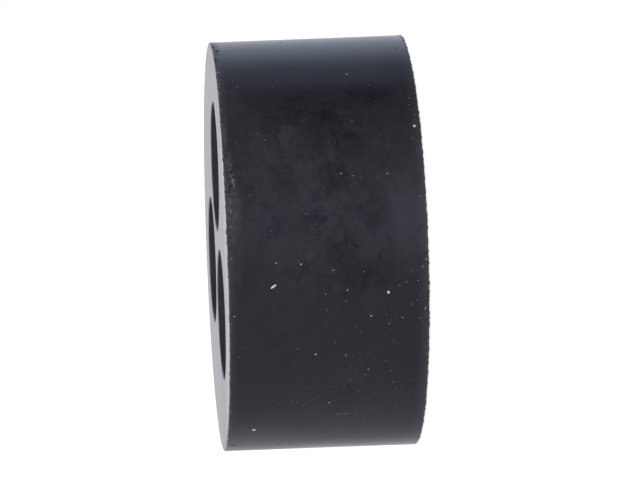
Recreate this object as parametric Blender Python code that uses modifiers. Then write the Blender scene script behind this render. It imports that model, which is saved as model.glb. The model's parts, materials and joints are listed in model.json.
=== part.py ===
"""Three-hole sealing insert of a cable gland, moulded as one disc of black rubber.

The disc stands on its lower end face. Its axis is the world Z axis, the lower end face lies
at z = 0, and the first cable hole lies on the +X side. All lengths are in metres.
"""

import math

import bmesh
import bpy

# Driving dimensions
BODY_LENGTH = 0.01185
HOLE_COUNT = 3
HOLE_DIAMETER = 0.0080
WEB_BETWEEN_HOLES = 0.0012
WALL_OUTSIDE_HOLES = 0.00335
RIM_RADIUS = 0.00015

# Fineness of the round faces
BODY_FACETS = 72
HOLE_FACETS = 36
RIM_STEPS = 2

# An edge turns sharper than this only where an end face meets a wall
RIM_EDGE_ANGLE = math.radians(60.0)

# How far a hole's cutter runs past each end face
CUT_MARGIN = 0.001

# Black rubber, as the eye sees it in soft light
RUBBER_COLOUR = (0.027, 0.026, 0.032, 1.0)
RUBBER_ROUGHNESS = 0.5
RUBBER_METALLIC = 0.0

# Sizes that follow from the driving dimensions
HOLE_SPACING = HOLE_DIAMETER + WEB_BETWEEN_HOLES
PITCH_RADIUS = HOLE_SPACING / (2.0 * math.sin(math.pi / HOLE_COUNT)) if HOLE_COUNT > 1 else 0.0
BODY_DIAMETER = 2.0 * (PITCH_RADIUS + WALL_OUTSIDE_HOLES) + HOLE_DIAMETER


def clear_scene():
    """Remove every object of the scene."""
    for thing in list(bpy.data.objects):
        bpy.data.objects.remove(thing, do_unlink=True)


def new_collection(name):
    """Make a collection and hang it in the scene."""
    collection = bpy.data.collections.new(name)
    bpy.context.scene.collection.children.link(collection)
    return collection


def rubber_material():
    """The black rubber of the whole insert."""
    material = bpy.data.materials.new("black_rubber")
    material.use_nodes = True
    shader = material.node_tree.nodes["Principled BSDF"]
    shader.inputs["Base Color"].default_value = RUBBER_COLOUR
    shader.inputs["Roughness"].default_value = RUBBER_ROUGHNESS
    shader.inputs["Metallic"].default_value = RUBBER_METALLIC
    material.diffuse_color = RUBBER_COLOUR
    return material


def upright_cylinder(name, diameter, length, facets, collection):
    """A closed cylinder about its own Z axis, with its origin at its middle."""
    mesh = bpy.data.meshes.new(name)
    shape = bmesh.new()
    bmesh.ops.create_cone(
        shape,
        cap_ends=True,
        segments=facets,
        radius1=diameter / 2.0,
        radius2=diameter / 2.0,
        depth=length,
    )
    shape.to_mesh(mesh)
    shape.free()
    cylinder = bpy.data.objects.new(name, mesh)
    collection.objects.link(cylinder)
    return cylinder


def hole_cutter(index, collection):
    """The cylinder that leaves one cable hole, placed on the pitch circle."""
    angle = 2.0 * math.pi * index / HOLE_COUNT
    length = BODY_LENGTH + 2.0 * CUT_MARGIN
    cutter = upright_cylinder(f"hole_cutter_{index + 1}", HOLE_DIAMETER, length, HOLE_FACETS, collection)
    cutter.location = (
        PITCH_RADIUS * math.cos(angle),
        PITCH_RADIUS * math.sin(angle),
        BODY_LENGTH / 2.0,
    )
    cutter.rotation_euler.z = angle
    cutter.hide_render = True
    cutter.display_type = "WIRE"
    return cutter


def cut(body, cutter):
    """Take the cutter's shape out of the body."""
    modifier = body.modifiers.new(cutter.name, "BOOLEAN")
    modifier.operation = "DIFFERENCE"
    modifier.solver = "EXACT"
    modifier.object = cutter


def round_rims(body):
    """Round each edge where an end face meets the outer wall or a hole's wall."""
    bevel = body.modifiers.new("rims", "BEVEL")
    bevel.width = RIM_RADIUS
    bevel.segments = RIM_STEPS
    bevel.limit_method = "ANGLE"
    bevel.angle_limit = RIM_EDGE_ANGLE


def sealing_insert(collection, cutters):
    """The rubber disc with its ring of cable holes."""
    body = upright_cylinder("sealing_insert", BODY_DIAMETER, BODY_LENGTH, BODY_FACETS, collection)
    body.location.z = BODY_LENGTH / 2.0
    body.data.materials.append(rubber_material())
    body.data.shade_smooth()
    body.data.set_sharp_from_angle(angle=RIM_EDGE_ANGLE)
    for index in range(HOLE_COUNT):
        cut(body, hole_cutter(index, cutters))
    round_rims(body)
    return body


def main():
    """Build the insert in a cleared scene."""
    clear_scene()
    collection = new_collection("cable_gland_sealing_insert")
    cutters = new_collection("hole_cutters")
    sealing_insert(collection, cutters)
    bpy.context.view_layer.update()


main()
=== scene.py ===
"""Looks of a moulded rubber sealing insert: its worn body, the dust on it, and a plain pale studio.

The insert stands on its lower end face, with its axis on the world Z axis. The main sizes of the body
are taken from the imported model. Lengths are in metres, except where a name ends in mm, and in the
tables of spots and flecks, which are in millimetres too.
"""

import json
import logging
import math
from dataclasses import dataclass, field
from enum import Enum
from typing import Any, Mapping, Optional, Sequence, TypeVar, Union

import bpy
from mathutils import Matrix, Vector


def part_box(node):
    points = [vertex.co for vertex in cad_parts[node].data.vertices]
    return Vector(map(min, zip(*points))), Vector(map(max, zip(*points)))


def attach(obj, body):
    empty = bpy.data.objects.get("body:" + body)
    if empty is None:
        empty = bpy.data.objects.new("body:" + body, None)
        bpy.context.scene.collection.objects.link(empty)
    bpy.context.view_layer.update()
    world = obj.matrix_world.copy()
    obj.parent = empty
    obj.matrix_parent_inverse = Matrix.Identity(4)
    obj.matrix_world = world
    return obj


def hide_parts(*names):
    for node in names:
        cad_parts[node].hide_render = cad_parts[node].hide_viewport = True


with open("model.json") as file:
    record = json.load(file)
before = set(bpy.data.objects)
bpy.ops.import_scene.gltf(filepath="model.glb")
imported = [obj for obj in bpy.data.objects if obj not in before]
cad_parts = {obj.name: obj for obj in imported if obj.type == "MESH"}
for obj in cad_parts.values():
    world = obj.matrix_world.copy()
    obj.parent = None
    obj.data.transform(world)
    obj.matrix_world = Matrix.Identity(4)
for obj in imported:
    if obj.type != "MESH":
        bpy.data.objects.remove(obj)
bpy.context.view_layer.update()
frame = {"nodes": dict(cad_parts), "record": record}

MM = 0.001
QUARTER_TURN = math.pi / 2.0
UP = Vector((0.0, 0.0, 1.0))
LOG = logging.getLogger("sealing_insert")

Colour = tuple[float, float, float]
Pair = tuple[float, float]
Amount = tuple[float, float, float, int]
Fed = Union[int, float, str, Sequence[float], bpy.types.ID, "Term"]
Row = TypeVar("Row")

WHITE: Colour = (1.0, 1.0, 1.0)
# The mean of every noise
MEAN = 0.5
# How many finer layers rough noise has, and how strong they are
ROUGH: Pair = (3.0, 0.6)
# How many finer layers smooth noise has
SMOOTH = 1.0
# Where a spot has faded out and where it is whole, as shares of its reach
SPOT_FADE: Pair = (1.3, 0.4)


class Sum(Enum):
    """The kinds of sum that a value takes part in."""

    ADD = "ADD"
    SUBTRACT = "SUBTRACT"
    MULTIPLY = "MULTIPLY"
    DIVIDE = "DIVIDE"
    POWER = "POWER"
    LEAST = "MINIMUM"
    MOST = "MAXIMUM"
    SINE = "SINE"
    COSINE = "COSINE"
    ROOT = "SQRT"
    SIZE = "ABSOLUTE"
    TURN = "ARCTAN2"
    SIGN = "SIGN"
    WRAP = "WRAP"


class Term:
    """One output socket of a node tree, written in sums as if it were a number."""

    def __init__(self, graph: "Graph", socket: bpy.types.NodeSocket) -> None:
        """Keep the socket and the tree that it belongs to."""
        self.graph = graph
        self.socket = socket

    def __add__(self, other: Fed) -> "Term":
        """This value and the other added."""
        return self.graph.sum(Sum.ADD, self, other)

    def __radd__(self, other: Fed) -> "Term":
        """The other and this value added."""
        return self.graph.sum(Sum.ADD, other, self)

    def __sub__(self, other: Fed) -> "Term":
        """This value less the other."""
        return self.graph.sum(Sum.SUBTRACT, self, other)

    def __rsub__(self, other: Fed) -> "Term":
        """The other less this value."""
        return self.graph.sum(Sum.SUBTRACT, other, self)

    def __mul__(self, other: Fed) -> "Term":
        """This value times the other."""
        return self.graph.sum(Sum.MULTIPLY, self, other)

    def __rmul__(self, other: Fed) -> "Term":
        """The other times this value."""
        return self.graph.sum(Sum.MULTIPLY, other, self)

    def __truediv__(self, other: Fed) -> "Term":
        """This value over the other."""
        return self.graph.sum(Sum.DIVIDE, self, other)

    def __rtruediv__(self, other: Fed) -> "Term":
        """The other over this value."""
        return self.graph.sum(Sum.DIVIDE, other, self)

    def __pow__(self, other: Fed) -> "Term":
        """This value to the power of the other."""
        return self.graph.sum(Sum.POWER, self, other)

    def __abs__(self) -> "Term":
        """This value without its sign."""
        return self.graph.sum(Sum.SIZE, self)


class Built:
    """A node that has been added to a tree."""

    def __init__(self, graph: "Graph", node: bpy.types.Node) -> None:
        """Keep the node and the tree that it belongs to."""
        self.graph = graph
        self.node = node

    def out(self, name: Union[str, int] = 0) -> Term:
        """The node's output of that name or place, as a term."""
        return Term(self.graph, pick(self.node.outputs, name))


def pick(sockets: Sequence[bpy.types.NodeSocket], name: Union[str, int]) -> bpy.types.NodeSocket:
    """Find a socket that is in use.

    Args:
        sockets: The inputs or the outputs of one node.
        name: The socket's name, or its place among those in use.

    Returns:
        The socket.
    """
    used = [socket for socket in sockets if socket.enabled]
    if isinstance(name, int):
        return used[name]
    return next(socket for socket in used if socket.name == name)


class Graph:
    """Writes the nodes of one tree: a material, a world or a shape."""

    def __init__(self, tree: bpy.types.NodeTree) -> None:
        """Start on an empty tree."""
        self.tree = tree
        tree.nodes.clear()

    def feed(self, socket: bpy.types.NodeSocket, value: Fed) -> None:
        """Set or link one input.

        Args:
            socket: The input.
            value: A term to link, or a plain value to set.
        """
        if isinstance(value, Term):
            self.tree.links.new(value.socket, socket)
        else:
            socket.default_value = value

    def node(
        self,
        kind: str,
        settings: Optional[Mapping[str, Any]] = None,
        inputs: Optional[Mapping[Union[str, int], Any]] = None,
    ) -> Built:
        """Add one node.

        Args:
            kind: The node's type.
            settings: What the node is set to before its sockets are used.
            inputs: The value, the term, or the list of terms of each input, by its name or its place.

        Returns:
            The node.
        """
        made = self.tree.nodes.new(kind)
        for name, value in (settings or {}).items():
            setattr(made, name, value)
        for name, value in (inputs or {}).items():
            for one in value if isinstance(value, list) else [value]:
                self.feed(pick(made.inputs, name), one)
        return Built(self, made)

    def sum(self, kind: Sum, *values: Fed) -> Term:
        """The result of one sum of terms or numbers, given in its order."""
        return self.node("ShaderNodeMath", {"operation": kind.value}, dict(enumerate(values))).out()

    def vector(self, operation: str, *values: Fed) -> Term:
        """The result of one sum of vectors, given in its order."""
        return self.node("ShaderNodeVectorMath", {"operation": operation}, dict(enumerate(values))).out()

    def scaled(self, vector: Fed, factor: Fed) -> Term:
        """A vector or colour times a number."""
        return self.vector("SCALE", vector, factor)

    def joined(self, x: Fed, y: Fed, z: Fed) -> Term:
        """A vector made of three numbers."""
        return self.node("ShaderNodeCombineXYZ", inputs={"X": x, "Y": y, "Z": z}).out()

    def split(self, vector: Fed) -> tuple[Term, Term, Term]:
        """The three numbers of a vector."""
        parts = self.node("ShaderNodeSeparateXYZ", inputs={0: vector})
        return parts.out("X"), parts.out("Y"), parts.out("Z")

    def share(self, value: Fed, low: Fed, high: Fed, easing: str = "LINEAR") -> Term:
        """How far a value has come from low, which may be the greater, to high, kept from 0 to 1."""
        ends = {"Value": value, "From Min": low, "From Max": high}
        return self.node("ShaderNodeMapRange", {"interpolation_type": easing}, ends).out("Result")

    def step(self, value: Fed, low: Fed, high: Fed) -> Term:
        """How far a value has come from low to high, eased at both ends."""
        return self.share(value, low, high, "SMOOTHSTEP")

    def noise(
        self, place: Fed, grain: float, detail: float = 2.0, roughness: float = 0.5, swirl: float = 0.0
    ) -> Term:
        """Soft noise in lumps of that grain, with finer layers by their number and strength, and a smear."""
        inputs = {"Vector": place, "Scale": 1.0 / grain, "Detail": detail, "Roughness": roughness}
        return self.node("ShaderNodeTexNoise", inputs={**inputs, "Distortion": swirl}).out()

    def shaken(self, place: Fed, scale: float, reach: Fed, **finer: float) -> Term:
        """A push to any side by coloured noise of that scale, with its finer layers by name."""
        noise = self.node("ShaderNodeTexNoise", inputs={"Vector": place, "Scale": scale, **finer})
        return self.scaled(self.vector("SUBTRACT", noise.out("Color"), (MEAN, MEAN, MEAN)), reach)

    def patches(self, place: Fed, size: float, softness: float) -> Term:
        """Patches of that size, each of its own tone from 0 to 1, with borders of that softness."""
        inputs = {"Vector": place, "Scale": 1.0 / size, "Smoothness": softness}
        return self.split(self.node("ShaderNodeTexVoronoi", {"feature": "SMOOTH_F1"}, inputs).out("Color"))[0]

    def specks(self, place: Fed, spacing: float, size: float) -> Term:
        """Small round specks in a loose scatter.

        Args:
            place: The point that the specks are read at.
            spacing: How far apart they lie, in metres.
            size: Their radius, in metres.

        Returns:
            1 in the inner half of a speck, fading to 0 at its radius.
        """
        inputs = {"Vector": place, "Scale": 1.0 / spacing}
        gap = self.node("ShaderNodeTexVoronoi", {"feature": "F1"}, inputs).out("Distance")
        return self.step(gap, size / spacing, 0.5 * size / spacing)

    def blend(self, factor: Fed, first: Fed, second: Fed) -> Term:
        """Two colours mixed, from the first at a factor of 0 to the second at 1."""
        inputs = {"Factor": factor, "A": opaque(first), "B": opaque(second)}
        return self.node("ShaderNodeMix", {"data_type": "RGBA"}, inputs).out("Result")


def opaque(colour: Fed) -> Fed:
    """A colour with its alpha of 1, or the term as it is."""
    return colour if isinstance(colour, Term) else (*colour[:3], 1.0)


class Paint(Graph):
    """Writes the tree of a material."""

    def __init__(self, name: str) -> None:
        """Start an empty material.

        Args:
            name: The material's name.
        """
        self.material = bpy.data.materials.new(name)
        self.material.use_nodes = True
        super().__init__(self.material.node_tree)

    def place(self) -> Term:
        """The point that is painted, on the piece's own axes."""
        return self.node("ShaderNodeTexCoord").out("Object")

    def finish(self, shader: Term) -> bpy.types.Material:
        """End the tree in a shader, and give the material."""
        self.node("ShaderNodeOutputMaterial", inputs={"Surface": shader})
        return self.material

    def coat(self, relief: Term, inputs: Mapping[str, Fed]) -> bpy.types.Material:
        """End the tree in a surface with that relief and those inputs, and give the material."""
        bump = self.node("ShaderNodeBump", inputs={"Strength": 1.0, "Distance": 1.0, "Height": relief}).out()
        return self.finish(self.node("ShaderNodeBsdfPrincipled", inputs={**inputs, "Normal": bump}).out())


class ShapeGraph(Graph):
    """Writes the tree of a shape, with named inputs for its sizes."""

    def __init__(self, name: str) -> None:
        """Start a tree that ends in one shape.

        Args:
            name: The name of the tree, and of the piece that it makes.
        """
        super().__init__(bpy.data.node_groups.new(name, "GeometryNodeTree"))
        self.name = name
        self.source = self.node("NodeGroupInput").node
        self.values: dict[str, Fed] = {}

    def input(self, name: str, value: Fed, kind: str = "Float") -> Term:
        """Add a named input.

        Args:
            name: The input's name.
            value: What this insert gives it.
            kind: What it holds: Float, Int, Material or Object.

        Returns:
            The input, as a term for the tree's nodes.
        """
        socket = self.tree.interface.new_socket(name, in_out="INPUT", socket_type=f"NodeSocket{kind}")
        self.values[socket.identifier] = value
        return Term(self, self.source.outputs[socket.identifier])

    def place(self) -> Term:
        """The point of the shape that is worked on."""
        return self.node("GeometryNodeInputPosition").out()

    def after(
        self, kind: str, shape: Union[Term, list[Term]], inputs: Optional[Mapping[str, Fed]] = None
    ) -> Term:
        """The shape, or the list of shapes, after a geometry node of that kind."""
        return self.node(f"GeometryNode{kind}", inputs={0: shape, **(inputs or {})}).out()

    def moved(self, shape: Term, place: Fed) -> Term:
        """The shape moved to that place."""
        return self.after("Transform", shape, {"Translation": place})

    def ring(self, radius: Fed, facets: int) -> Term:
        """A flat circle about the Z axis."""
        inputs = {"Resolution": facets, "Radius": radius}
        return self.node("GeometryNodeCurvePrimitiveCircle", inputs=inputs).out()

    def ball(self, fineness: int) -> Term:
        """A ball of length 1."""
        inputs = {"Radius": 0.5, "Subdivisions": fineness}
        return self.node("GeometryNodeMeshIcoSphere", inputs=inputs).out("Mesh")

    def finish(self, shape: Term, material: Term) -> bpy.types.Object:
        """End the tree in real faces of one material, and make its shape a plain mesh.

        Args:
            shape: The finished shape.
            material: The input that holds the material.

        Returns:
            The piece, in the scene, with no modifier.
        """
        dressed = self.after("SetMaterial", self.after("RealizeInstances", shape), {"Material": material})
        self.tree.interface.new_socket("Shape", in_out="OUTPUT", socket_type="NodeSocketGeometry")
        self.node("NodeGroupOutput", inputs={0: dressed})
        piece = bpy.data.objects.new(self.name, bpy.data.meshes.new(self.name))
        bpy.context.scene.collection.objects.link(piece)
        modifier = piece.modifiers.new(self.name, "NODES")
        modifier.node_group = self.tree
        for identifier, value in self.values.items():
            modifier[identifier] = value
        evaluated = piece.evaluated_get(bpy.context.evaluated_depsgraph_get())
        mesh = bpy.data.meshes.new_from_object(evaluated)
        mesh.name = self.name
        piece.modifiers.remove(modifier)
        piece.data = mesh
        return piece


@dataclass(frozen=True)
class InsertForm:
    """The real sizes of the insert."""

    radius: float
    length: float
    hole_radius: float
    hole_centres: tuple[Vector, ...]
    rim_radius: float = 0.11 * MM
    flare: float = 0.06 * MM
    flare_curve: float = 1.3
    sag: float = 0.01 * MM

    @classmethod
    def from_frame(cls, node: str) -> "InsertForm":
        """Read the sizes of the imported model.

        Args:
            node: The name of the body's node.

        Returns:
            The form that the finished body has to keep.
        """
        low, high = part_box(node)
        centres = []
        for opening in frame["record"]["physics"]["openings"]:
            first, last = (Vector(corner) for corner in opening["box_m"])
            centres.append(((first + last) / 2.0).to_2d())
        points = [vertex.co.to_2d() for vertex in frame["nodes"][node].data.vertices]
        hole_radius = min((point - centres[0]).length for point in points)
        return cls((high.x - low.x) / 2.0, high.z - low.z, hole_radius, tuple(centres))

    @property
    def middle(self) -> Vector:
        """The middle of the insert."""
        return Vector((0.0, 0.0, self.length / 2.0))

    def spread(self, height: Union[float, Term]) -> Union[float, Term]:
        """How much of its lower end's spread the body has at that height, from 1 down to 0 at the top."""
        return (1.0 - height / self.length) ** self.flare_curve


@dataclass(frozen=True)
class Places:
    """Where a point lies on the insert, as terms of a tree. A gap is how far in from a face it lies."""

    graph: Graph
    point: Term
    turn: Term
    height: Term
    outer_gap: Term
    upper_gap: Term
    hole_gap: Term

    @classmethod
    def on(cls, graph: Union[Paint, ShapeGraph], form: InsertForm) -> "Places":
        """Measure the tree's own point against the insert's faces.

        Args:
            graph: The tree that the sums go in.
            form: The insert's sizes.

        Returns:
            Where the point lies, with its turn about the axis in degrees.
        """
        point = graph.place()
        x, y, z = graph.split(point)
        reach = graph.sum(Sum.ROOT, x * x + y * y)
        gaps = []
        for centre in form.hole_centres:
            dx = x - centre.x
            dy = y - centre.y
            gaps.append(graph.sum(Sum.ROOT, dx * dx + dy * dy) - form.hole_radius)
        nearest = gaps[0]
        for gap in gaps[1:]:
            nearest = graph.sum(Sum.LEAST, nearest, gap)
        turn = graph.sum(Sum.TURN, y, x) * math.degrees(1.0)
        return cls(graph, point, turn, z, form.radius - reach, form.length - z, nearest)

    @property
    def end_gap(self) -> Term:
        """How far in from the nearer end face the point lies."""
        return self.graph.sum(Sum.LEAST, self.upper_gap, self.height)

    @property
    def low_corner(self) -> Term:
        """How far the point lies from the lower outer corner."""
        return self.graph.sum(Sum.MOST, self.height, self.outer_gap)

    def noise(self, grain: float, *finer: float) -> Term:
        """The tree's soft noise at the point."""
        return self.graph.noise(self.point, grain, *finer)


@dataclass(frozen=True)
class Spot:
    """One soft oval place on the outer wall, and how much of something it holds."""

    turn_deg: float
    height_mm: float
    reach_deg: float
    reach_mm: float
    amount: float

    def share(self, turn: Term, height: Term, unit: float = 1.0) -> Term:
        """How much a point gets of what the spot holds.

        Args:
            turn: The point's turn about the axis, in degrees.
            height: The point's height.
            unit: What an amount of 1 stands for.

        Returns:
            The amount, whole in the middle and fading to none past the edge.
        """
        across = (turn - self.turn_deg) / self.reach_deg
        along = (height - self.height_mm * MM) / (self.reach_mm * MM)
        gap = turn.graph.sum(Sum.ROOT, across * across + along * along)
        return turn.graph.step(gap, *SPOT_FADE) * (self.amount * unit)

    @staticmethod
    def all_of(spots: Sequence["Spot"], turn: Term, height: Term, unit: float = 1.0) -> Term:
        """The amounts of several spots, added."""
        first, *others = [spot.share(turn, height, unit) for spot in spots]
        return sum(others, first)


def table(kind: type[Row], *rows: Sequence[float]) -> tuple[Row, ...]:
    """The rows of a table, each made one of that kind."""
    return tuple(kind(*row) for row in rows)


@dataclass(frozen=True)
class WornRim:
    """The rough strip along part of the upper rim, and the tears and burrs of both rims.

    The tears and the nub hold millimetres, the scuffs and the burrs hold shares.
    """

    start_deg: float = 8.0
    end_deg: float = -78.0
    fade_deg: float = 10.0
    width: float = 0.44 * MM
    fade_share: float = 0.9
    ragged_least: float = 0.25
    ragged_share: float = 1.4
    inward: Pair = (0.15 * MM, 0.05 * MM)
    pit: float = 0.024 * MM
    pit_grain: float = 0.13 * MM
    pit_gain: float = 2.0
    chip: float = 0.026 * MM
    chip_grain: float = 0.28 * MM
    chip_gain: float = 3.0
    burr: float = 0.045 * MM
    burr_grain: float = 0.24 * MM
    burr_noise: Pair = (0.46, 0.64)
    burr_height: Pair = (0.16 * MM, 0.05 * MM)
    burr_depth: Pair = (0.16 * MM, 0.09 * MM)
    grit_grain: float = 0.12 * MM
    drift_deg: float = 1.6
    drift: float = 0.16 * MM
    tears: tuple[Spot, ...] = table(
        Spot, (5.6, 11.78, 2.2, 0.07, 0.09), (1.3, 11.55, 0.6, 0.12, 0.07), (-1.2, 11.60, 0.4, 0.08, -0.04),
        (-6.0, 11.76, 1.6, 0.06, 0.08), (-5.0, 11.62, 0.5, 0.06, -0.06), (-9.2, 11.70, 0.5, 0.05, -0.04),
        (-13.0, 11.70, 0.6, 0.06, -0.05), (-14.6, 11.72, 0.5, 0.06, 0.05), (-18.3, 11.74, 0.6, 0.06, -0.04),
        (-48.2, 11.44, 0.4, 0.06, 0.08), (-49.9, 11.53, 0.4, 0.06, 0.07), (-59.7, 11.44, 0.4, 0.06, 0.06),
        (-50.8, 11.33, 0.7, 0.10, -0.06), (-51.9, 11.29, 0.8, 0.06, -0.05), (-52.0, 11.41, 0.5, 0.06, 0.10),
        (-52.9, 11.48, 0.5, 0.08, 0.11), (-53.7, 11.60, 0.4, 0.07, 0.08), (-54.5, 11.45, 0.2, 0.26, -0.05),
        (-55.2, 11.38, 0.2, 0.24, 0.04), (12.5, 0.04, 4.0, 0.11, -0.045), (5.0, 0.06, 1.0, 0.07, 0.05),
        (-3.5, 0.05, 0.8, 0.07, 0.05), (-9.0, 0.05, 0.8, 0.07, 0.05), (-60.1, 11.62, 0.2, 0.20, -0.02),
        (-80.0, 11.82, 0.5, 0.10, 0.05), (-128.0, 10.67, 0.3, 0.22, 0.022),
        (-142.0, 11.42, 0.5, 0.25, 0.035),
    )
    scuffs: tuple[Spot, ...] = table(
        Spot, (-50.9, 11.33, 0.8, 0.12, 0.9), (-52.0, 11.29, 0.8, 0.06, 0.6),
        (-54.4, 11.43, 0.4, 0.26, 0.25), (-56.5, 11.58, 1.0, 0.12, 0.25), (-60.2, 11.31, 1.1, 0.16, 0.20),
        (-58.5, 11.42, 9.5, 0.50, 0.16), (-45.5, 11.50, 3.2, 0.20, 0.16), (-46.1, 11.42, 0.4, 0.06, 0.6),
        (-47.6, 11.53, 0.4, 0.05, 0.9), (-49.5, 11.45, 0.4, 0.06, 0.9), (-49.1, 11.29, 0.4, 0.05, 0.6),
        (-58.4, 11.70, 0.4, 0.05, 0.7), (-59.2, 11.55, 0.4, 0.05, 0.7), (-63.4, 11.58, 0.5, 0.06, 0.6),
        (-71.8, 11.65, 0.4, 0.06, 0.6), (-37.0, 11.66, 4.0, 0.12, 0.20), (-21.7, 11.79, 0.5, 0.06, 0.5),
        (-18.3, 11.74, 0.5, 0.06, 0.7), (-16.6, 11.72, 0.4, 0.05, 0.6), (-13.0, 11.70, 0.5, 0.06, 0.8),
        (-9.2, 11.70, 0.4, 0.05, 0.7), (-5.0, 11.62, 0.4, 0.06, 1.0), (-2.5, 11.58, 1.3, 0.12, 0.30),
        (8.0, 11.62, 2.0, 0.10, 0.5), (-147.0, 10.4, 16.0, 2.6, 0.10),
    )
    burrs: tuple[Spot, ...] = table(
        Spot, (-85.0, 11.85, 85.0, 1.0, 0.6), (-60.0, 11.85, 16.0, 1.0, 0.5), (-75.0, 0.0, 120.0, 1.0, 1.0),
        (6.0, 0.0, 2.0, 0.30, 1.4),
    )
    nub: Spot = Spot(-80.5, 0.0, 0.30, 0.12, 0.06)

    def ragged(self, places: Places) -> Term:
        """Noise that makes the rim and the strip's edge uneven."""
        return places.noise(self.chip_grain)

    def outside(self, places: Places) -> Term:
        """1 on the outer wall, fading to 0 over the rim, so that the end faces stay clean."""
        return places.graph.step(places.outer_gap, *self.inward)

    def strip(self, places: Places) -> Term:
        """How much of the rough strip a point has.

        Args:
            places: Where the point lies.

        Returns:
            A share from 0, clean, to 1, rough.
        """
        graph = places.graph
        begins = graph.step(places.turn, self.start_deg + self.fade_deg, self.start_deg)
        ends = graph.step(places.turn, self.end_deg - self.fade_deg, self.end_deg)
        limit = (self.ragged(places) - self.ragged_least) * (self.ragged_share * self.width)
        near = graph.step(places.upper_gap - limit, self.fade_share * self.width, 0.0)
        return begins * ends * near * self.outside(places)

    def drifted(self, spots: Sequence[Spot], places: Places, uneven: Term, unit: float = 1.0) -> Term:
        """The amounts of several spots, with their outlines made uneven by that noise."""
        height = places.height + uneven * self.drift
        return Spot.all_of(spots, places.turn + uneven * self.drift_deg, height, unit)

    def raised(self, places: Places) -> Term:
        """How far small burrs stand out along the axis, up at the upper rim and down at the lower one.

        Args:
            places: Where the point lies.

        Returns:
            The height, in metres, only on the rounding of the rims.
        """
        graph = places.graph
        at_end = graph.step(places.end_gap, *self.burr_height)
        at_rim = at_end * graph.step(places.outer_gap, *self.burr_depth)
        ragged = graph.step(places.noise(self.burr_grain, *ROUGH), *self.burr_noise)
        amount = Spot.all_of(self.burrs, places.turn, places.height)
        side = graph.sum(Sum.SIGN, places.height - places.upper_gap)
        return ragged * amount * at_rim * side * self.burr


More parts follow.
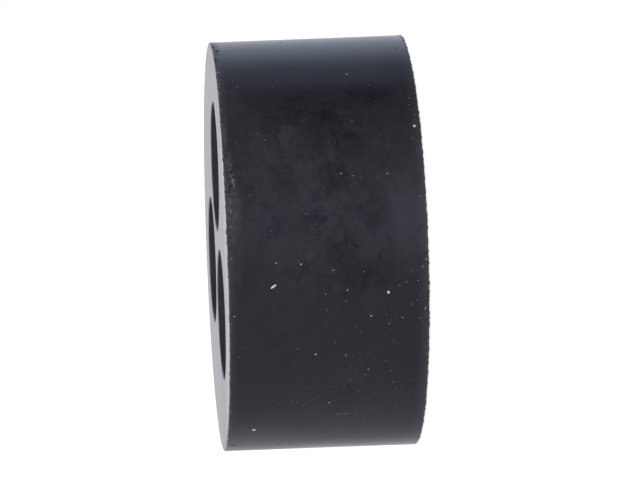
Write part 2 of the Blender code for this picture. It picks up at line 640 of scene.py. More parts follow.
@dataclass(frozen=True)
class RubberFinish:
    """Moulded black rubber with a faint uneven bloom, worn paler along its rims where a painted highlight
    lies too, and with a painted shade along part of the lower rim.
    """

    colour: Colour = (0.0170, 0.0162, 0.0219)
    # also the colour of the painted shade along part of the lower rim
    dark: Colour = (0.0040, 0.0035, 0.0085)
    bloom: Colour = (0.0300, 0.0290, 0.0370)
    # pale colour of rubbed wear, the dust film and the strip's grit, and also of the painted highlight along
    # the rims
    rubbed_and_highlight: Colour = (0.0850, 0.0850, 0.0900)
    scuffed: Colour = (0.1380, 0.1480, 0.1580)
    in_holes: Colour = (0.0510, 0.0500, 0.0550)
    gloss: float = 0.36
    roughness: float = 0.24
    bloom_roughness: float = 0.03
    skin_roughness: float = 0.04
    strip_roughness: float = 0.15
    matt_roughness: float = 0.30
    skin_relief: float = 2.5e-6
    pore_relief: float = 0.8e-6
    strip_relief: float = 1.5e-5
    pit_relief: float = 1.0e-5
    fine_detail: Pair = (2.0, 0.6)
    skin_grain: float = 0.30 * MM
    skin_tones: Pair = (0.9, 0.2)
    pore_grain: float = 0.07 * MM
    cloud_grain: float = 6.0 * MM
    cloud_share: float = 0.4
    cloud_drift: float = 1.5 * MM
    cloud_drift_deg: float = 16.0
    cloud_detail: Pair = (4.0, 0.65)
    patch_size: float = 1.05 * MM
    patch_softness: float = 0.12
    patch_share: float = 0.65
    patch_push: float = 1.6 * MM
    mottle_grain: float = 0.45 * MM
    mottle_softness: float = 0.2
    mottle_share: float = 0.55
    smear_detail: tuple[float, float, float] = (4.0, 0.7, 0.4)
    smear_share: float = 1.3
    mottled_tones: Pair = (0.12, 0.8)
    mark_drift: float = 0.25 * MM
    mark_drift_deg: float = 4.0
    film_grain: float = 0.16 * MM
    film_noise: Pair = (0.50, 0.66)
    pale_grit: Pair = (0.46, 0.68)
    pale_grit_share: float = 0.30
    dark_grit: Pair = (0.44, 0.30)
    dark_grit_share: float = 0.55
    scuff_skin: Pair = (0.35, 0.60)
    scuff_tones: Pair = (0.6, 0.4)
    pit_spacing: float = 1.2 * MM
    pit_size: float = 0.05 * MM
    pit_share: float = 0.9
    rub_grain: float = 1.3 * MM
    rub_noise: Pair = (0.25, 0.65)
    # rubbed wear with a painted highlight along every rim, wide and narrow, and further along the lower rim
    # on the side toward -80 degrees
    wide_rub_and_highlight_width: float = 0.60 * MM
    wide_rub_and_highlight_tones: Pair = (0.06, 0.14)
    narrow_rub_and_highlight_width: float = 0.15 * MM
    narrow_rub_and_highlight_tones: Pair = (0.15, 0.40)
    low_rub_and_highlight_width: float = 0.85 * MM
    low_rub_and_highlight_tones: Pair = (0.14, 0.12)
    low_rub_and_highlight_deg: float = -80.0
    low_rub_and_highlight_sides: Pair = (80.0, 30.0)
    # painted shade along part of the lower rim, which is also made rougher: its widths, turns, grit and tones
    shade_and_matt_rim: Pair = (0.14 * MM, 0.07 * MM)
    shade_and_matt_start_deg: Pair = (60.0, 30.0)
    shade_and_matt_end_deg: Pair = (-44.0, -20.0)
    shade_and_matt_grit: Pair = (0.42, 0.60)
    shade_and_matt_tones: Pair = (0.25, 0.75)
    painted_shade_share: float = 0.7
    hole_skin: Pair = (0.20 * MM, 0.05 * MM)
    hole_rim: float = 0.25 * MM
    polish: float = 0.23
    polish_width: float = 4.6 * MM
    polish_skin: Pair = (0.03 * MM, 0.01 * MM)
    polished_deg: float = -84.0
    polished_sides: Pair = (64.0, 19.2)
    marks: tuple[Spot, ...] = table(
        Spot, (-48.3, 5.00, 1.2, 0.34, -0.5), (-52.2, 5.30, 0.5, 0.50, -0.4),
        (-50.8, 3.50, 2.0, 0.10, -0.5), (-55.1, 5.75, 1.2, 0.15, -0.5), (-51.5, 2.80, 0.8, 0.16, 0.6),
        (-60.2, 6.60, 0.3, 0.50, -0.4), (-60.9, 5.60, 0.7, 0.18, -0.4), (-65.9, 6.40, 1.3, 0.22, -0.6),
        (-69.2, 5.55, 0.5, 0.30, -0.7), (-67.2, 4.90, 2.2, 0.12, -0.5), (-69.4, 4.30, 0.6, 0.18, -0.6),
        (-69.9, 4.66, 0.9, 0.05, 1.2), (-73.0, 2.90, 1.2, 0.12, -0.6), (-71.9, 7.00, 1.2, 0.22, 0.5),
        (-58.3, 6.60, 0.8, 0.24, 0.5), (-73.7, 5.20, 0.5, 0.14, -0.5),
    )
    clouds: tuple[Spot, ...] = table(
        Spot, (-31.0, 5.4, 13.0, 3.9, -0.38), (-24.0, 3.1, 5.5, 1.4, -0.30), (-36.0, 6.0, 7.5, 1.3, -0.22),
        (-42.0, 4.1, 4.5, 1.1, -0.65), (-51.6, 5.3, 5.0, 0.9, -0.45), (-63.2, 6.6, 3.2, 0.9, -0.50),
        (-69.8, 4.9, 5.5, 1.1, -0.60), (-58.8, 3.5, 8.0, 0.8, -0.40), (-78.0, 4.0, 4.0, 1.7, -0.45),
        (-75.2, 10.8, 4.0, 0.5, -0.25), (-115.5, 5.2, 6.0, 1.6, -0.20), (-21.0, 1.6, 7.0, 1.4, -0.20),
        (-7.9, 1.2, 9.0, 1.1, -0.40), (-58.0, 1.3, 15.0, 1.2, 0.60), (-65.0, 0.9, 12.0, 1.2, 0.55),
        (-26.6, 11.1, 7.0, 0.6, 0.55), (-36.6, 7.9, 3.0, 0.7, 0.30), (-41.6, 9.5, 5.0, 1.2, 0.25),
        (-58.7, 6.1, 2.2, 0.8, 0.35), (-69.0, 8.2, 4.0, 1.4, 0.25), (-73.0, 11.3, 7.0, 0.50, 0.45),
        (-138.0, 9.8, 12.0, 2.4, 0.80), (-152.0, 9.5, 12.0, 3.0, 0.70),
    )
    mottled: Spot = Spot(-54.0, 5.8, 34.0, 7.2, 1.0)
    filmed: Spot = Spot(-115.0, 4.4, 16.0, 4.2, 0.11)

    def material(self, form: InsertForm, rim: WornRim) -> bpy.types.Material:
        """Make the rubber's material.

        Args:
            form: The insert's sizes.
            rim: The worn strip.

        Returns:
            The material.
        """
        graph = Paint("black_rubber")
        places = Places.on(graph, form)
        skin = places.noise(self.skin_grain, *ROUGH)
        pores = places.noise(self.pore_grain, *self.fine_detail)
        grit = places.noise(rim.grit_grain, *self.fine_detail)
        pits = graph.specks(places.point, self.pit_spacing, self.pit_size)
        strip = rim.strip(places)
        tone = self.clouding(places)
        film = graph.step(places.noise(self.film_grain, *ROUGH), *self.film_noise)
        scuffs = rim.outside(places) * rim.drifted(rim.scuffs, places, pores - MEAN)
        # painted shade along part of the lower rim; the same mask also makes that rim matt
        matt = self.low_rim_shade_and_matt(places) * ramp(self.shade_and_matt_tones, graph.step(grit, *self.shade_and_matt_grit))
        layers = (
            (tone, self.bloom),
            (pits * self.pit_share - tone, self.dark),
            (self.in_hole(places), self.in_holes),
            # rubbed wear with a painted highlight along the rims
            (self.rubbed_and_highlit_edges(places), self.rubbed_and_highlight),
            (film * self.filmed.share(places.turn, places.height), self.rubbed_and_highlight),
            (strip * graph.step(grit, *self.pale_grit) * self.pale_grit_share, self.rubbed_and_highlight),
            (strip * graph.step(grit, *self.dark_grit) * self.dark_grit_share, self.dark),
            (scuffs * ramp(self.scuff_tones, graph.step(skin, *self.scuff_skin)), self.scuffed),
            # the painted shade along part of the lower rim
            (matt * self.painted_shade_share, self.dark),
        )
        colour: Fed = self.colour
        for amount, layer in layers:
            colour = graph.blend(amount, colour, layer)
        roughness = self.roughness + tone * self.bloom_roughness + (skin - MEAN) * self.skin_roughness
        relief = skin * self.skin_relief + pores * self.pore_relief + strip * pores * self.strip_relief
        inputs = {
            "Base Color": graph.scaled(colour, ramp(self.skin_tones, skin)),
            "Roughness": roughness + strip * self.strip_roughness + matt * self.matt_roughness,
            "Specular IOR Level": self.gloss,
            "Coat Weight": self.polish_on(places),
        }
        return graph.coat(relief - pits * self.pit_relief, inputs)

    def clouding(self, places: Places) -> Term:
        """The paler and darker clouds on the rubber, with smeared mottling in the middle.

        Args:
            places: Where the point lies.

        Returns:
            The tone: 0 for plain rubber, up to 1 for bloomed and down to -1 for dark rubber.
        """
        graph = places.graph
        drift = places.noise(self.cloud_drift, *self.cloud_detail) - MEAN
        turn = places.turn + drift * self.cloud_drift_deg
        height = places.height + drift * self.cloud_drift
        finer = {"Detail": ROUGH[0], "Roughness": ROUGH[1]}
        push = graph.shaken(places.point, 1.0 / self.patch_size, self.patch_push, **finer)
        moved = graph.vector("ADD", places.point, push)
        large = graph.patches(moved, self.patch_size, self.patch_softness) - MEAN
        small = graph.patches(moved, self.mottle_grain, self.mottle_softness) - MEAN
        smear = places.noise(self.mottle_grain, *self.smear_detail) - MEAN
        wide = (places.noise(self.cloud_grain) - MEAN) * self.cloud_share
        clouds = Spot.all_of(self.clouds, turn, height)
        mark_height = places.height + smear * self.mark_drift
        marks = Spot.all_of(self.marks, places.turn + smear * self.mark_drift_deg, mark_height)
        mottle = large * self.patch_share + small * self.mottle_share + smear * self.smear_share
        return wide + clouds + marks + mottle * ramp(self.mottled_tones, self.mottled.share(turn, height))

    def polish_on(self, places: Places) -> Term:
        """How polished a point is: only the outer part of the end faces, and on one side of them.

        Args:
            places: Where the point lies.

        Returns:
            The weight of the shader's coat.
        """
        graph = places.graph
        flat = graph.step(places.end_gap, *self.polish_skin)
        near_side = graph.step(abs(places.turn - self.polished_deg), *self.polished_sides)
        return graph.step(places.outer_gap, self.polish_width, 0.0) * flat * near_side * self.polish

    def in_hole(self, places: Places) -> Term:
        """1 on the wall of a hole and 0 elsewhere, eased over its rims."""
        below_rim = places.graph.step(places.end_gap, 0.0, self.hole_rim)
        return places.graph.step(places.hole_gap, *self.hole_skin) * below_rim

    def low_rim_shade_and_matt(self, places: Places) -> Term:
        """How much a point has of the painted shade along part of the lower rim, which is also made matt.

        Args:
            places: Where the point lies.

        Returns:
            A share from 0 to 1.
        """
        graph = places.graph
        there = graph.step(places.turn, *self.shade_and_matt_end_deg) * graph.step(places.turn, *self.shade_and_matt_start_deg)
        return graph.step(places.low_corner, *self.shade_and_matt_rim) * there

    def rubbed_and_highlit_edges(self, places: Places) -> Term:
        """How much a point is rubbed paler and given a painted rim highlight by lying near a rim, on the
        outer wall and on the end faces.

        Args:
            places: Where the point lies.

        Returns:
            A share from 0 to 1.
        """
        graph = places.graph
        wall_gap = graph.sum(Sum.LEAST, places.outer_gap, places.hole_gap)
        corner = graph.sum(Sum.MOST, places.end_gap, wall_gap)
        uneven = graph.step(places.noise(self.rub_grain, *ROUGH), *self.rub_noise)
        wide = graph.step(corner, self.wide_rub_and_highlight_width, 0.0) * ramp(self.wide_rub_and_highlight_tones, uneven)
        narrow = graph.step(corner, self.narrow_rub_and_highlight_width, 0.0) * ramp(self.narrow_rub_and_highlight_tones, uneven)
        # the painted highlight and the rubbing reach further along the lower rim on the side toward -80
        # degrees
        rubbed_and_highlit_side = graph.step(abs(places.turn - self.low_rub_and_highlight_deg), *self.low_rub_and_highlight_sides)
        low = graph.step(places.low_corner, self.low_rub_and_highlight_width, 0.0) * rubbed_and_highlit_side
        return wide + narrow + low * ramp(self.low_rub_and_highlight_tones, uneven)


def ramp(pair: Pair, share: Term) -> Term:
    """The first number of a pair, with that share of the second added."""
    return pair[0] + share * pair[1]


@dataclass
class RubberBody:
    """The insert's one moulded piece, with its true rims, holes and wear."""

    form: InsertForm
    rim: WornRim = field(default_factory=WornRim)
    finish: RubberFinish = field(default_factory=RubberFinish)
    outer_facets: int = 960
    hole_facets: int = 180
    rim_steps: int = 4
    lip: float = 0.16 * MM
    lip_steps: int = 2
    outer_rows: int = 62
    hole_rows: int = 28
    row_crowding: float = 1.6
    weld: float = 0.001 * MM
    sway: float = 0.012 * MM
    sway_grain: float = 5.0 * MM
    chip_reach: Pair = (2.0, 0.7)
    flare_reach: Pair = (3.0, 2.0)

    def wall(
        self, graph: ShapeGraph, radius: Term, out: float, facets: int, rows: int, rim: Term, length: Term
    ) -> Term:
        """Turn one round wall with a rounded rim and a narrow flat lip at each end.

        Args:
            graph: The body's tree.
            radius: The wall's radius.
            out: 1 for the outer wall, which faces outward, or -1 for a hole's wall.
            facets: How many faces go round.
            rows: How many faces go up between the rims.
            rim: The rims' radius.
            length: The body's length.

        Returns:
            The wall, about the Z axis, from z = 0.
        """
        lip = self.lip_steps
        ends = self.rim_steps + lip
        total = rows + 2 * ends
        size = {"Size X": 1.0, "Size Y": 1.0, "Vertices X": facets + 1, "Vertices Y": total + 1}
        sheet = graph.node("GeometryNodeMeshGrid", inputs=size).out("Mesh")
        across, up, _ = graph.split(graph.place())
        angle = (across + 0.5) * math.tau
        row = (up + 0.5) * float(total)

        def way(first: int, last: int) -> Term:
            """How far a row has come from the first to the last of them."""
            return graph.share(row, float(first), float(last))

        lower = way(lip, ends) * QUARTER_TURN
        upper = way(total - ends, total - lip) * QUARTER_TURN
        middle = way(ends, total - ends) * 2.0 - 1.0
        lips = way(lip, 0) + way(total - lip, total)
        crowded = graph.sum(Sum.SIGN, middle) * (1.0 - (1.0 - abs(middle)) ** self.row_crowding)
        height = rim * (1.0 - graph.sum(Sum.COSINE, lower)) + rim * graph.sum(Sum.SINE, upper)
        height = height + (length - rim * 2.0) * (crowded * 0.5 + 0.5)
        inset = rim * (1.0 - graph.sum(Sum.SINE, lower)) + rim * (1.0 - graph.sum(Sum.COSINE, upper))
        reach = radius - (inset + lips * self.lip) * out
        point = graph.joined(graph.sum(Sum.COSINE, angle) * reach, graph.sum(Sum.SINE, angle) * reach, height)
        turned = graph.after("SetPosition", sheet, {"Position": point})
        return graph.after("FlipFaces", turned) if out < 0.0 else turned

    def end_faces(self, graph: ShapeGraph, radius: Term, hole: Term, rim: Term, length: Term) -> list[Term]:
        """Make the flat face of each end, from lip to lip, with the holes left open.

        Args:
            graph: The body's tree.
            radius: The body's radius.
            hole: The holes' radius.
            rim: The rims' radius.
            length: The body's length.

        Returns:
            The lower face and the upper one.
        """
        outer = graph.ring(radius - rim - self.lip, self.outer_facets)
        mouth = graph.ring(hole + rim + self.lip, self.hole_facets)
        mouths = [graph.moved(mouth, centre.to_3d()) for centre in self.form.hole_centres]
        flat = graph.after("FillCurve", graph.after("JoinGeometry", [outer, *mouths]))
        plain = graph.after("SetShadeSmooth", flat, {"Shade Smooth": False})
        return [graph.after("FlipFaces", plain), graph.moved(plain, graph.joined(0.0, 0.0, length))]

    def worn(self, graph: ShapeGraph, shape: Term, pit: Term, chip: Term, sway: Term, flare: Term) -> Term:
        """Press the wear into the surface, and spread the body a little toward its lower end.

        Args:
            graph: The body's tree.
            shape: The clean body.
            pit: How deep the pits of the rough strip are.
            chip: How deep the rim itself is nicked.
            sway: How far the walls wander from true.
            flare: How far the lower end spreads.

        Returns:
            The worn body.
        """
        rim = self.rim
        rounding = self.form.rim_radius
        places = Places.on(graph, self.form)
        normal = graph.node("GeometryNodeInputNormal").out()
        pits = places.noise(rim.pit_grain, *ROUGH) - MEAN
        corner = graph.sum(Sum.MOST, places.upper_gap, places.outer_gap)
        at_rim = graph.step(corner, *(rounding * reach for reach in self.chip_reach))
        tears = rim.drifted(rim.tears, places, pits, MM)
        outside = rim.outside(places)
        chips = (rim.ragged(places) - MEAN) * at_rim * chip * rim.chip_gain
        depth = rim.strip(places) * pits * pit * rim.pit_gain + (chips + tears) * outside
        wander = places.noise(self.sway_grain, SMOOTH) * sway
        on_wall = graph.step(places.end_gap, 0.0, rounding)
        inward = graph.scaled(normal, (depth + wander * on_wall) * -1.0)
        nub = rim.nub.share(places.turn, places.height, MM) * outside
        spread = self.form.spread(places.height)
        along = graph.joined(0.0, 0.0, rim.raised(places) - nub - spread * self.form.sag)
        level = graph.vector("NORMALIZE", graph.vector("MULTIPLY", places.point, (1.0, 1.0, 0.0)))
        near_outside = graph.step(places.outer_gap, *(rounding * reach for reach in self.flare_reach))
        outward = graph.scaled(level, spread * near_outside * flare)
        offset = graph.vector("ADD", graph.vector("ADD", inward, along), outward)
        return graph.after("SetPosition", shape, {"Offset": offset})

    def build(self) -> bpy.types.Object:
        """Make the body's mesh and dress it in rubber.

        Returns:
            The finished piece.
        """
        graph = ShapeGraph("rubber_body")
        sizes = {
            "Body Radius": self.form.radius,
            "Body Length": self.form.length,
            "Hole Radius": self.form.hole_radius,
            "Rim Radius": self.form.rim_radius,
            "Pit Depth": self.rim.pit,
            "Chip Depth": self.rim.chip,
            "Sway": self.sway,
            "Flare": self.form.flare,
        }
        radius, length, hole, rim, *wear = [graph.input(*size) for size in sizes.items()]
        material = graph.input("Rubber", self.finish.material(self.form, self.rim), "Material")
        faces = self.end_faces(graph, radius, hole, rim, length)
        faces.append(self.wall(graph, radius, 1.0, self.outer_facets, self.outer_rows, rim, length))
        bore = self.wall(graph, hole, -1.0, self.hole_facets, self.hole_rows, rim, length)
        faces += [graph.moved(bore, centre.to_3d()) for centre in self.form.hole_centres]
        whole = graph.after("MergeByDistance", graph.after("JoinGeometry", faces), {"Distance": self.weld})
        return graph.finish(self.worn(graph, whole, *wear), material)


@dataclass(frozen=True)
class LintFinish:
    """Pale dust and lint, each grain of its own tone."""

    pale: Colour = (0.102, 0.101, 0.115)
    dull: Colour = (0.038, 0.037, 0.045)
    tone_grain: float = 0.55 * MM
    tone_noise: Pair = (0.36, 0.62)
    fuzz_grain: float = 0.03 * MM
    fuzz_tones: Pair = (0.8, 0.4)
    fuzz_roughness: float = 0.2
    fuzz_relief: float = 5.0e-6
    roughness: float = 0.8

    def material(self, name: str) -> bpy.types.Material:
        """Make the material.

        Args:
            name: The material's name.

        Returns:
            The material.
        """
        graph = Paint(name)
        place = graph.place()
        tone = graph.step(graph.noise(place, self.tone_grain, SMOOTH), *self.tone_noise)
        fuzz = graph.noise(place, self.fuzz_grain)
        colour = graph.scaled(graph.blend(tone, self.dull, self.pale), ramp(self.fuzz_tones, fuzz))
        roughness = self.roughness + (fuzz - MEAN) * self.fuzz_roughness
        return graph.coat(fuzz * self.fuzz_relief, {"Base Color": colour, "Roughness": roughness})


class Grain(Enum):
    """The shapes that dust has."""

    FLAKE = "flake"
    FIBRE = "fibre"


class Site(Enum):
    """Where on the body a kind of dust lies."""

    WALL = "wall"
    SWEPT = "swept"
    RIM = "rim"


@dataclass
class Scatter:
    """One kind of dust, strewn over the body."""

    body: bpy.types.Object
    form: InsertForm
    rim: WornRim
    name: str
    finish: bpy.types.Material
    grain: Grain
    site: Site
    per_mm2: float
    smallest_mm: float
    largest_mm: float
    seed: int
    smallness: float = 3.0
    stretch: float = 1.6
    flatness: float = 0.6
    unevenness: float = 0.7
    uneven_scale: float = 1.7
    flake_fineness: int = 1
    fibre_steps: int = 6
    fibre_sides: int = 5
    fibre_radius: float = 0.055
    fibre_start: Sequence[float] = (-0.5, -0.08, 0.02)
    fibre_middle: Sequence[float] = (0.05, 0.22, 0.10)
    fibre_end: Sequence[float] = (0.5, -0.1, 0.02)
    clump_grain: float = 1.1 * MM
    clump_noise: Pair = (0.42, 0.66)
    wall_skin: float = 0.06 * MM
    wall_least: float = 0.4
    swept_least: float = 0.15
    rim_least: float = 0.25
    heaps: tuple[Spot, ...] = table(
        Spot, (-46.5, 11.50, 3.6, 0.16, 1.6), (-58.0, 11.52, 1.6, 0.12, 1.2),
        (-14.0, 11.76, 16.0, 0.08, 1.6),
    )
    drifts: tuple[Spot, ...] = table(
        Spot, (-117.0, 4.0, 15.0, 3.6, 1.0), (-86.0, 1.4, 12.0, 1.6, 0.9), (-98.0, 3.8, 12.0, 3.4, 0.35),
    )

    def shape(self, graph: ShapeGraph) -> Term:
        """One grain of length 1, lying flat.

        Args:
            graph: The dust's tree.

        Returns:
            The grain.
        """
        if self.grain is Grain.FLAKE:
            offset = graph.shaken(graph.place(), self.uneven_scale, self.unevenness)
            return graph.after("SetPosition", graph.ball(self.flake_fineness), {"Offset": offset})
        bend = {"Start": self.fibre_start, "Middle": self.fibre_middle, "End": self.fibre_end}
        line = graph.node("GeometryNodeCurveQuadraticBezier", inputs={"Resolution": self.fibre_steps, **bend})
        section = graph.ring(self.fibre_radius, self.fibre_sides)
        return graph.after("CurveToMesh", line.out(), {"Profile Curve": section, "Fill Caps": True})

    def density(self, graph: ShapeGraph) -> Term:
        """How many grains lie on a square metre, point by point.

        Args:
            graph: The dust's tree.

        Returns:
            The density.
        """
        places = Places.on(graph, self.form)
        full = self.per_mm2 / (MM * MM)
        if self.site is Site.RIM:
            heaps = Spot.all_of(self.heaps, places.turn, places.height)
            return self.rim.strip(places) * (self.rim_least + heaps) * full
        clumps = graph.step(places.noise(self.clump_grain), *self.clump_noise)
        on_wall = graph.step(places.outer_gap, self.wall_skin, 0.0)
        if self.site is Site.WALL:
            return on_wall * (self.wall_least + clumps) * full
        drifts = Spot.all_of(self.drifts, places.turn, places.height)
        return on_wall * (self.swept_least + clumps) * drifts * full

    def build(self) -> bpy.types.Object:
        """Strew the dust.

        Returns:
            The finished piece.
        """
        graph = ShapeGraph(self.name)
        body = graph.input("Body", self.body, "Object")
        material = graph.input("Dust", self.finish, "Material")
        smallest = graph.input("Smallest", self.smallest_mm * MM)
        largest = graph.input("Largest", self.largest_mm * MM)
        seed = graph.input("Seed", self.seed, "Int")
        surface = graph.node("GeometryNodeObjectInfo", inputs={"Object": body}).out("Geometry")
        strewn = graph.node(
            "GeometryNodeDistributePointsOnFaces",
            {"distribute_method": "RANDOM"},
            {"Mesh": surface, "Density": self.density(graph), "Seed": seed},
        )
        spin = graph.node(
            "FunctionNodeRandomValue",
            {"data_type": "FLOAT_VECTOR"},
            {"Min": (0.0, 0.0, 0.0), "Max": (0.0, 0.0, math.tau), "Seed": seed},
        ).out("Value")
        turned = graph.node(
            "FunctionNodeRotateRotation",
            {"rotation_space": "LOCAL"},
            {"Rotation": strewn.out("Rotation"), "Rotate By": spin},
        ).out()
        chance = graph.node(
            "FunctionNodeRandomValue", {"data_type": "FLOAT"}, {"Min": 0.0, "Max": 1.0, "Seed": seed}
        ).out("Value")
        length = smallest + (largest - smallest) * chance ** self.smallness
        if self.grain is Grain.FLAKE:
            scale = graph.joined(length * self.stretch, length, length * self.flatness)
        else:
            scale = graph.joined(length, length, length)
        inputs = {"Instance": self.shape(graph), "Rotation": turned, "Scale": scale}
        return graph.finish(graph.after("InstanceOnPoints", strewn.out("Points"), inputs), material)


@dataclass(frozen=True)
class Fleck:
    """One pale fleck that stands out on the outer wall. Its tilt is from level, seen from outside."""

    turn_deg: float
    height_mm: float
    length_mm: float
    width_mm: float
    tilt_deg: float = 0.0


@dataclass
class MainFlecks:
    """The pale flecks that catch the eye."""

    form: InsertForm
    finish: bpy.types.Material
    name: str = "main_flecks"
    lift: float = 0.01 * MM
    roughen: float = 0.03 * MM
    rough_grain: float = 0.07 * MM
    rough_gain: float = 2.0
    flatness: float = 0.5
    fineness: int = 3
    flecks: tuple[Fleck, ...] = table(
        Fleck, (-79.7, 9.20, 0.40, 0.12, -55.0), (-82.4, 2.42, 0.17, 0.14, 20.0),
        (-36.6, 0.35, 0.19, 0.14, 60.0), (-129.9, 10.30, 0.23, 0.18, 90.0), (-74.0, 7.55, 0.08, 0.07),
        (-73.4, 9.00, 0.07, 0.06), (-81.4, 4.85, 0.07, 0.07), (-88.8, 3.45, 0.08, 0.07),
        (-99.8, 6.75, 0.16, 0.06, 90.0), (-100.4, 4.95, 0.06, 0.06), (-105.3, 3.60, 0.05, 0.05),
        (-117.5, 5.85, 0.07, 0.07), (-49.9, 4.95, 0.09, 0.05, 50.0), (-50.4, 2.20, 0.09, 0.03),
        (-16.0, 4.00, 0.09, 0.07), (-89.7, 1.60, 0.05, 0.04), (-91.3, 2.40, 0.05, 0.04),
        (-87.3, 0.25, 0.09, 0.06), (-73.8, 0.16, 0.08, 0.05, 30.0), (-82.3, 6.15, 0.05, 0.04),
        (-87.6, 11.55, 0.07, 0.06),
    )

    def laid(self, graph: ShapeGraph, grain: Term, fleck: Fleck) -> Term:
        """Lay one fleck flat on the outer wall.

        Args:
            graph: The flecks' tree.
            grain: A rough ball of length 1.
            fleck: The fleck's place and size.

        Returns:
            The fleck.
        """
        height = fleck.height_mm * MM
        width = fleck.width_mm * MM
        out = heading_of(fleck.turn_deg, 0.0)
        tilt = math.radians(fleck.tilt_deg)
        along = UP.cross(out) * math.cos(tilt) + UP * math.sin(tilt)
        turned = Matrix((along, out.cross(along), out)).transposed().to_euler()
        spread = self.form.spread(height) * self.form.flare
        place = out * (self.form.radius + spread + self.lift) + UP * height
        size = (fleck.length_mm * MM, width, self.flatness * width)
        inputs = {"Translation": tuple(place), "Rotation": tuple(turned), "Scale": size}
        return graph.after("Transform", grain, inputs)

    def build(self) -> bpy.types.Object:
        """Lay every fleck and make each one's outline its own.

        Returns:
            The finished piece.
        """
        graph = ShapeGraph(self.name)
        material = graph.input("Lint", self.finish, "Material")
        roughen = graph.input("Roughen", self.roughen)
        grain = graph.ball(self.fineness)
        joined = graph.after("JoinGeometry", [self.laid(graph, grain, fleck) for fleck in self.flecks])
        offset = graph.shaken(graph.place(), 1.0 / self.rough_grain, roughen * self.rough_gain)
        return graph.finish(graph.after("SetPosition", joined, {"Offset": offset}), material)


@dataclass
class FaintFlecks(MainFlecks):
    """The duller flecks among them."""

    name: str = "faint_flecks"
    flecks: tuple[Fleck, ...] = table(
        Fleck, (-75.9, 5.65, 0.20, 0.05, -70.0), (-50.7, 4.25, 0.13, 0.03, 90.0),
        (-20.2, 10.65, 0.09, 0.05), (-37.1, 9.70, 0.04, 0.04), (-60.6, 7.15, 0.06, 0.05),
        (-89.5, 11.70, 0.07, 0.06), (-98.7, 0.20, 0.08, 0.06), (-57.0, 0.30, 0.07, 0.06),
        (-32.8, 0.25, 0.07, 0.06), (-40.2, 5.55, 0.06, 0.05), (-75.8, 0.35, 0.09, 0.07),
        (-122.8, 4.75, 0.20, 0.03, 90.0), (-122.8, 5.20, 0.50, 0.02, 90.0), (-84.4, 4.95, 0.08, 0.06),
        (-84.7, 0.70, 0.07, 0.06), (-26.9, 0.50, 0.09, 0.06, 20.0), (-79.5, 0.65, 0.08, 0.06),
        (-97.9, 7.80, 0.07, 0.05), (-40.4, 0.50, 0.07, 0.06),
    )


@dataclass(frozen=True)
class Panel:
    """One soft-edged band of the surround, by its turn from straight behind the insert."""

    turn_deg: float
    half_deg: float
    fade_deg: float
    colour: Colour

    def glow(self, graph: Graph, turn: Term) -> Term:
        """The band's colour in one direction.

        Args:
            graph: The tree that the sums go in.
            turn: The direction's turn from straight behind the insert, in degrees.

        Returns:
            The colour.
        """
        away = abs(graph.sum(Sum.WRAP, turn - self.turn_deg, 180.0, -180.0))
        half_fade = 0.5 * self.fade_deg
        share = graph.step(away, self.half_deg + half_fade, self.half_deg - half_fade)
        return graph.scaled(self.colour, share)


@dataclass(frozen=True)
class Lamp:
    """One large soft lamp, by its turn from straight behind the insert and its height above the horizon."""

    name: str
    turn_deg: float
    rise_deg: float
    power: float


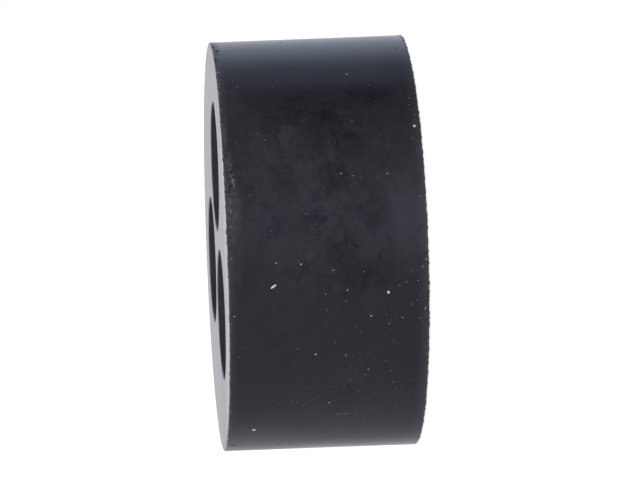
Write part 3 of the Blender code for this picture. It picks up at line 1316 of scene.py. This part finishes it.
@dataclass(frozen=True)
class Studio:
    """Plain soft studio: pale bands all round, a ceiling, soft lamps and a pale floor."""

    surround: tuple[Panel, ...] = (
        Panel(108.0, 146.0, 60.0, (0.44, 0.43, 0.49)),
        Panel(193.0, 18.0, 16.0, (0.19, 0.18, 0.25)),
        Panel(-2.0, 20.0, 44.0, (0.57, 0.57, 0.55)),
        Panel(-20.0, 10.0, 16.0, (0.03, 0.03, 0.13)),
        Panel(-47.0, 16.0, 44.0, (0.63, 0.76, 1.05)),
        Panel(-77.0, 3.0, 22.0, (0.45, 0.52, 0.71)),
    )
    ceiling: Colour = (0.60, 0.60, 0.62)
    ground: Colour = (0.50, 0.50, 0.50)
    lamps: tuple[Lamp, ...] = (
        Lamp("front_lamp", 180.0, 35.0, 0.9),
        Lamp("left_lamp", 90.0, 35.0, 0.4),
        Lamp("right_lamp", -90.0, 35.0, 0.4),
    )
    backdrop_turn_deg: float = 111.44
    lamp_width: float = 0.35
    lamp_distance: float = 0.60
    floor_half: float = 10.0
    floor_drop: float = 0.1 * MM
    floor_colour: Colour = (0.90, 0.90, 0.90)
    seen_floor: Colour = (0.27, 0.27, 0.27)
    floor_glow: float = 0.88

    def light(self, graph: Graph, heading: Term) -> Term:
        """The colour of the studio in one direction.

        Args:
            graph: The tree that the sums go in.
            heading: The direction, of length 1.

        Returns:
            The colour.
        """
        x, y, z = graph.split(heading)
        turn = graph.sum(Sum.TURN, y, x) * math.degrees(1.0) - self.backdrop_turn_deg
        total = graph.scaled(self.ceiling, graph.sum(Sum.MOST, z, 0.0))
        below = graph.scaled(self.ground, graph.sum(Sum.MOST, z * -1.0, 0.0))
        total = graph.vector("ADD", total, below)
        level = 1.0 - z * z
        for panel in self.surround:
            total = graph.vector("ADD", total, graph.scaled(panel.glow(graph, turn), level))
        return total

    def world(self) -> None:
        """Light the scene from all round, and show the eye plain white."""
        world = bpy.data.worlds.new("studio")
        world.use_nodes = True
        graph = Graph(world.node_tree)
        heading = graph.node("ShaderNodeTexCoord").out("Generated")
        eye = graph.node("ShaderNodeLightPath").out("Is Camera Ray")
        colour = graph.blend(eye, self.light(graph, heading), WHITE)
        glow = graph.node("ShaderNodeBackground", inputs={"Color": colour, "Strength": 1.0}).out()
        graph.node("ShaderNodeOutputWorld", inputs={"Surface": glow})
        bpy.context.scene.world = world

    def floor(self) -> None:
        """Lay a pale floor that keeps the insert's shadow."""
        bpy.ops.mesh.primitive_plane_add(size=2.0 * self.floor_half, location=(0.0, 0.0, -self.floor_drop))
        floor = bpy.context.object
        floor.name = "floor"
        floor.visible_glossy = False
        graph = Paint("pale_floor")
        eye = graph.node("ShaderNodeLightPath").out("Is Camera Ray")
        matt = graph.node("ShaderNodeBsdfDiffuse", inputs={"Color": opaque(self.floor_colour)}).out()
        faint = graph.node("ShaderNodeBsdfDiffuse", inputs={"Color": opaque(self.seen_floor)}).out()
        inputs = {"Color": opaque(WHITE), "Strength": self.floor_glow}
        glow = graph.node("ShaderNodeEmission", inputs=inputs).out()
        seen = graph.node("ShaderNodeAddShader", inputs={0: faint, 1: glow}).out()
        surface = graph.node("ShaderNodeMixShader", inputs={0: eye, 1: matt, 2: seen}).out()
        floor.data.materials.append(graph.finish(surface))

    def hang(self, lamp: Lamp, middle: Vector) -> None:
        """Hang one lamp so that it faces the insert.

        Args:
            lamp: The lamp.
            middle: What it faces.
        """
        data = bpy.data.lights.new(lamp.name, "AREA")
        data.shape = "DISK"
        data.size = self.lamp_width
        data.energy = lamp.power
        light = bpy.data.objects.new(lamp.name, data)
        heading = heading_of(self.backdrop_turn_deg + lamp.turn_deg, lamp.rise_deg)
        light.location = middle + heading * self.lamp_distance
        light.rotation_mode = "QUATERNION"
        light.rotation_quaternion = heading.to_track_quat("Z", "Y")
        light.visible_camera = False
        light.visible_glossy = False
        bpy.context.scene.collection.objects.link(light)

    def build(self, form: InsertForm) -> None:
        """Set up the whole studio.

        Args:
            form: The insert's sizes.
        """
        self.world()
        self.floor()
        for lamp in self.lamps:
            self.hang(lamp, form.middle)
        bpy.context.scene.view_settings.view_transform = "Standard"


def heading_of(turn_deg: float, rise_deg: float) -> Vector:
    """Find the direction of a lamp, a fleck or the camera, as seen from the insert.

    Args:
        turn_deg: Its turn about Z, from +X.
        rise_deg: Its rise above the horizon.

    Returns:
        The direction, of length 1.
    """
    turn = math.radians(turn_deg)
    rise = math.radians(rise_deg)
    return Vector((math.cos(turn) * math.cos(rise), math.sin(turn) * math.cos(rise), math.sin(rise)))


@dataclass(frozen=True)
class CameraStand:
    """The camera, close to level with the insert and turned so that its axis lies across the frame."""

    turn_deg: float = -68.558
    rise_deg: float = 4.490
    distance: float = 236.4 * MM
    roll_deg: float = 92.156
    aim_right: float = 0.531 * MM
    aim_up: float = 0.203 * MM
    lens_mm: float = 214.19
    sensor_mm: float = 36.0
    clip: Pair = (0.01, 100.0)

    def build(self, form: InsertForm) -> None:
        """Make the camera and look through it.

        Args:
            form: The insert's sizes.
        """
        data = bpy.data.cameras.new("camera")
        data.lens = self.lens_mm
        data.sensor_width = self.sensor_mm
        data.clip_start, data.clip_end = self.clip
        camera = bpy.data.objects.new("camera", data)
        back = heading_of(self.turn_deg, self.rise_deg)
        level_right = UP.cross(back).normalized()
        level_up = back.cross(level_right)
        roll = math.radians(self.roll_deg)
        up = level_up * math.cos(roll) + level_right * math.sin(roll)
        right = up.cross(back)
        aim = form.middle + right * self.aim_right + up * self.aim_up
        turned = Matrix((right, up, back)).transposed().to_4x4()
        camera.matrix_world = Matrix.Translation(aim + back * self.distance) @ turned
        bpy.context.scene.collection.objects.link(camera)
        bpy.context.scene.camera = camera


def keep(piece: bpy.types.Object) -> None:
    """Let a piece move with the insert, and log its size."""
    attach(piece, "root")
    LOG.info("%s: %d faces", piece.name, len(piece.data.polygons))


@dataclass(frozen=True)
class Dusting:
    """All that lies on the body: dust, lint, rim crumbs and flecks.

    An amount is how many grains lie on a square millimetre, the smallest and the largest length in
    millimetres, and the seed.
    """

    dust: LintFinish = LintFinish()
    settled: LintFinish = LintFinish((0.080, 0.079, 0.093), (0.038, 0.037, 0.046))
    lint: LintFinish = LintFinish((0.75, 0.74, 0.72), (0.50, 0.50, 0.49))
    faint: LintFinish = LintFinish((0.30, 0.30, 0.32), (0.18, 0.18, 0.20))
    crumb: LintFinish = LintFinish((0.16, 0.16, 0.17), (0.04, 0.04, 0.045), 0.2 * MM)
    wall_dust: Amount = (0.50, 0.03, 0.095, 3)
    swept_dust: Amount = (6.4, 0.055, 0.130, 5)
    swept_lint: Amount = (1.00, 0.18, 0.46, 8)
    rim_crumbs: Amount = (34.0, 0.02, 0.09, 2)

    def build(self, body: bpy.types.Object, form: InsertForm, rim: WornRim) -> None:
        """Strew the dust, the lint and the crumbs, and lay the flecks.

        Args:
            body: The finished body.
            form: The insert's sizes.
            rim: The rough strip.
        """
        dust = self.dust.material("pale_dust")
        settled = self.settled.material("settled_dust")
        lint = self.lint.material("pale_lint")
        faint = self.faint.material("faint_lint")
        crumb = self.crumb.material("rubber_crumb")
        kinds = (
            ("wall_dust", dust, Grain.FLAKE, Site.WALL, *self.wall_dust),
            ("swept_dust", settled, Grain.FLAKE, Site.SWEPT, *self.swept_dust),
            ("swept_lint", settled, Grain.FIBRE, Site.SWEPT, *self.swept_lint),
            ("rim_crumbs", crumb, Grain.FLAKE, Site.RIM, *self.rim_crumbs),
        )
        for kind in kinds:
            keep(Scatter(body, form, rim, *kind).build())
        keep(MainFlecks(form, lint).build())
        keep(FaintFlecks(form, faint).build())


def main() -> None:
    """Build the studio, the camera and every piece of the insert."""
    logging.basicConfig(level=logging.INFO, format="%(name)s: %(message)s")
    form = InsertForm.from_frame("sealing_insert")
    CameraStand().build(form)
    Studio().build(form)
    rim = WornRim()
    body = RubberBody(form, rim).build()
    keep(body)
    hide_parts("sealing_insert")
    Dusting().build(body, form, rim)


if __name__ == "__main__":
    main()
